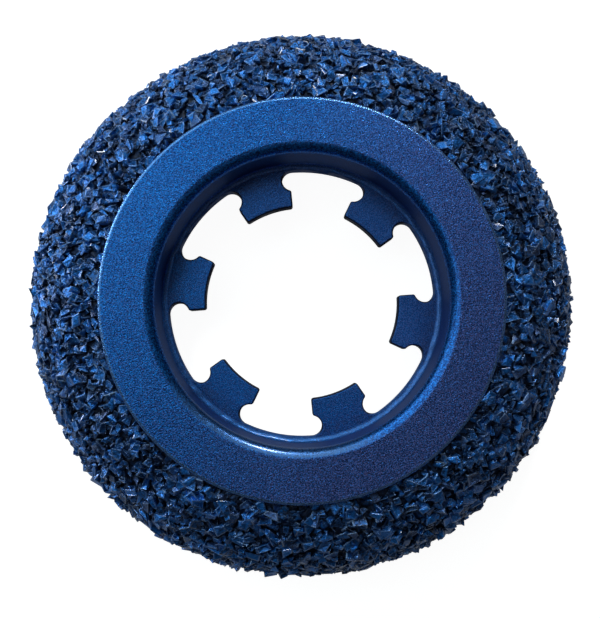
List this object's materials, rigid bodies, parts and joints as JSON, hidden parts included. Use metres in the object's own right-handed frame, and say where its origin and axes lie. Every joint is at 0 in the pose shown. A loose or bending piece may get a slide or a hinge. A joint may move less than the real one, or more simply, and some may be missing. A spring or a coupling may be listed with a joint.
{
  "type": "grit traction wheel",
  "caption": "Ring-shaped wheel with a crowned carbide-grit tread, a flat coated face and a stepped bore whose inward bayonet lugs lock it on a drive hub.",
  "frame": {"origin": "on the wheel's axis, in the plane of the back face", "axes": "+Z along the axis from the back face to the front face; +X through the middle of a gap between two lugs; +Y through the middle of a lug"},
  "size_m": [0.1509, 0.1501, 0.034],
  "materials": {
    "coat": "blue metallic powder coat, fine speckle, semi-gloss",
    "lug_coat": "blue metallic powder coat, fine speckle, semi-gloss",
    "braze": "blue coat over a smooth braze fillet",
    "bond": "dark blue coat in the gaps of the grit",
    "grit": "blue coat on crushed carbide, glossy facets"
  },
  "bodies": {
    "root": {"rim": "coat", "lug_plate": "lug_coat", "braze_fillet": "braze", "grit_bond": "bond", "grit_row_01": "grit", "grit_row_02": "grit", "grit_row_03": "grit", "grit_row_04": "grit", "grit_row_05": "grit", "grit_row_06": "grit", "grit_row_07": "grit", "grit_row_08": "grit", "grit_row_09": "grit", "grit_row_10": "grit", "grit_row_11": "grit", "grit_row_12": "grit", "grit_row_13": "grit", "grit_row_14": "grit", "grit_row_15": "grit", "grit_row_16": "grit"}
  },
  "joints": []
}
